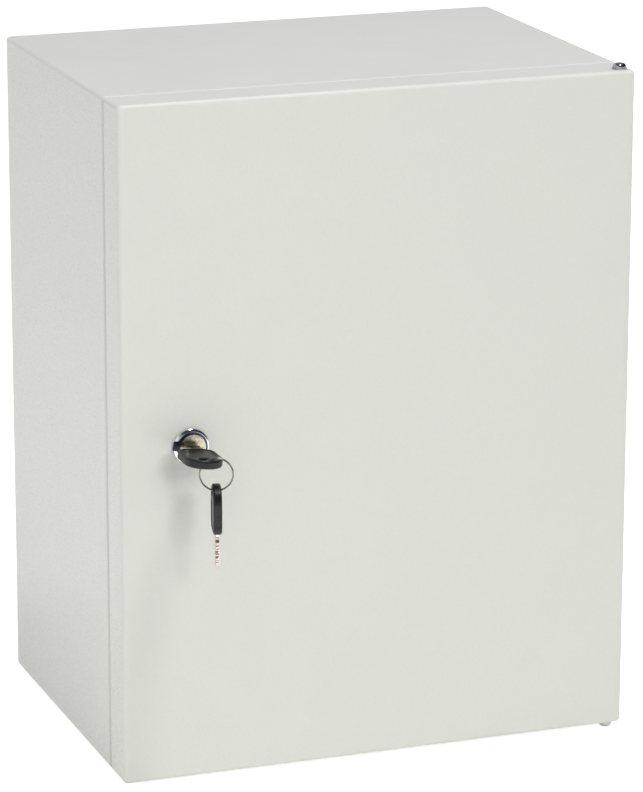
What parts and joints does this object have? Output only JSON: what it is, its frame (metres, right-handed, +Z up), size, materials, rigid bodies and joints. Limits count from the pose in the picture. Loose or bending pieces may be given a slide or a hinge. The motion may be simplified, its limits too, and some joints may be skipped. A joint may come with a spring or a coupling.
{
  "type": "wall enclosure",
  "caption": "Sheet steel wall cabinet with a hinged pan door, a cam lock with its keys on a ring, and a mounting plate inside.",
  "frame": {"origin": "middle of the four wall holes, on the back panel's outer face against the wall", "axes": "+Y into the wall, +Z up, +X to the right seen from the front; the door faces -Y with its hinges on the right"},
  "size_m": [0.31, 0.2694, 0.4018],
  "materials": {
    "body_paint": "satin",
    "door_paint": "satin",
    "panel_zinc": "satin",
    "gland_zinc": "satin",
    "hardware_zinc": "satin",
    "hinge_steel": "satin",
    "gasket_rubber": "matte",
    "seal_foam": "matte",
    "lock_chrome": "polished",
    "plug_nickel": "polished",
    "shutter_steel": "satin",
    "cam_steel": "satin",
    "key_nickel": "satin",
    "key_plastic": "satin",
    "ring_steel": "polished"
  },
  "bodies": {
    "body": {"body_shell": "body_paint", "back_panel": "body_paint", "panel_studs": "hardware_zinc", "mounting_panel": "panel_zinc", "panel_washers": "hardware_zinc", "panel_nuts": "hardware_zinc", "gland_gasket": "gasket_rubber", "gland_plate": "gland_zinc", "gland_studs": "hardware_zinc", "gland_nuts": "hardware_zinc", "body_earth_stud": "hardware_zinc", "body_earth_washer": "hardware_zinc", "body_earth_nut": "hardware_zinc", "hinge_bracket_top": "hinge_steel", "hinge_bracket_bottom": "hinge_steel", "hinge_screw_top": "hinge_steel", "hinge_screw_bottom": "hinge_steel", "hinge_washer_top": "hinge_steel", "hinge_washer_bottom": "hinge_steel", "hinge_spacer_top": "hinge_steel", "hinge_spacer_bottom": "hinge_steel"},
    "door": {"door_panel": "door_paint", "door_seal": "seal_foam", "lock_housing": "lock_chrome", "lock_seal": "gasket_rubber", "lock_nut": "lock_chrome", "door_earth_stud": "hardware_zinc", "door_earth_washer": "hardware_zinc", "door_earth_nut": "hardware_zinc"},
    "shutter": {"lock_shutter": "shutter_steel"},
    "lock_core": {"lock_plug": "plug_nickel", "lock_cam": "cam_steel", "cam_washer": "cam_steel", "cam_screw": "cam_steel"},
    "key": {"key_blade": "key_nickel", "key_bow": "key_plastic"},
    "ring": {"key_ring": "ring_steel"},
    "spare_key": {"spare_key_blade": "key_nickel", "spare_key_bow": "key_plastic"}
  },
  "joints": [
    {"name": "door_hinge", "type": "hinge", "parent": "body", "child": "door", "pos_m": [0.1475, -0.2135, 0], "axis": [0, 0, 1], "range_deg": [0, 120]},
    {"name": "shutter_turn", "type": "hinge", "parent": "door", "child": "shutter", "pos_m": [-0.114, -0.22, 0.0003], "axis": [0, 1, 0], "range_deg": [0, 90]},
    {"name": "lock_turn", "type": "hinge", "parent": "door", "child": "lock_core", "pos_m": [-0.114, -0.22, 0.0003], "axis": [0, 1, 0], "range_deg": [-6, 84]},
    {"name": "key_slide", "type": "slide", "parent": "lock_core", "child": "key", "axis": [0, -1, 0], "range_m": [-0.0087, 0.009]},
    {"name": "ring_swing", "type": "hinge", "parent": "key", "child": "ring", "pos_m": [-0.11302, -0.25794, -0.00086], "axis": [-0.342, -0.9397, 0], "range_deg": [0, 80]},
    {"name": "spare_swing", "type": "hinge", "parent": "ring", "child": "spare_key", "pos_m": [-0.11177, -0.2584, -0.01499], "axis": [0.9397, -0.342, 0], "range_deg": [-30, 15]}
  ]
}
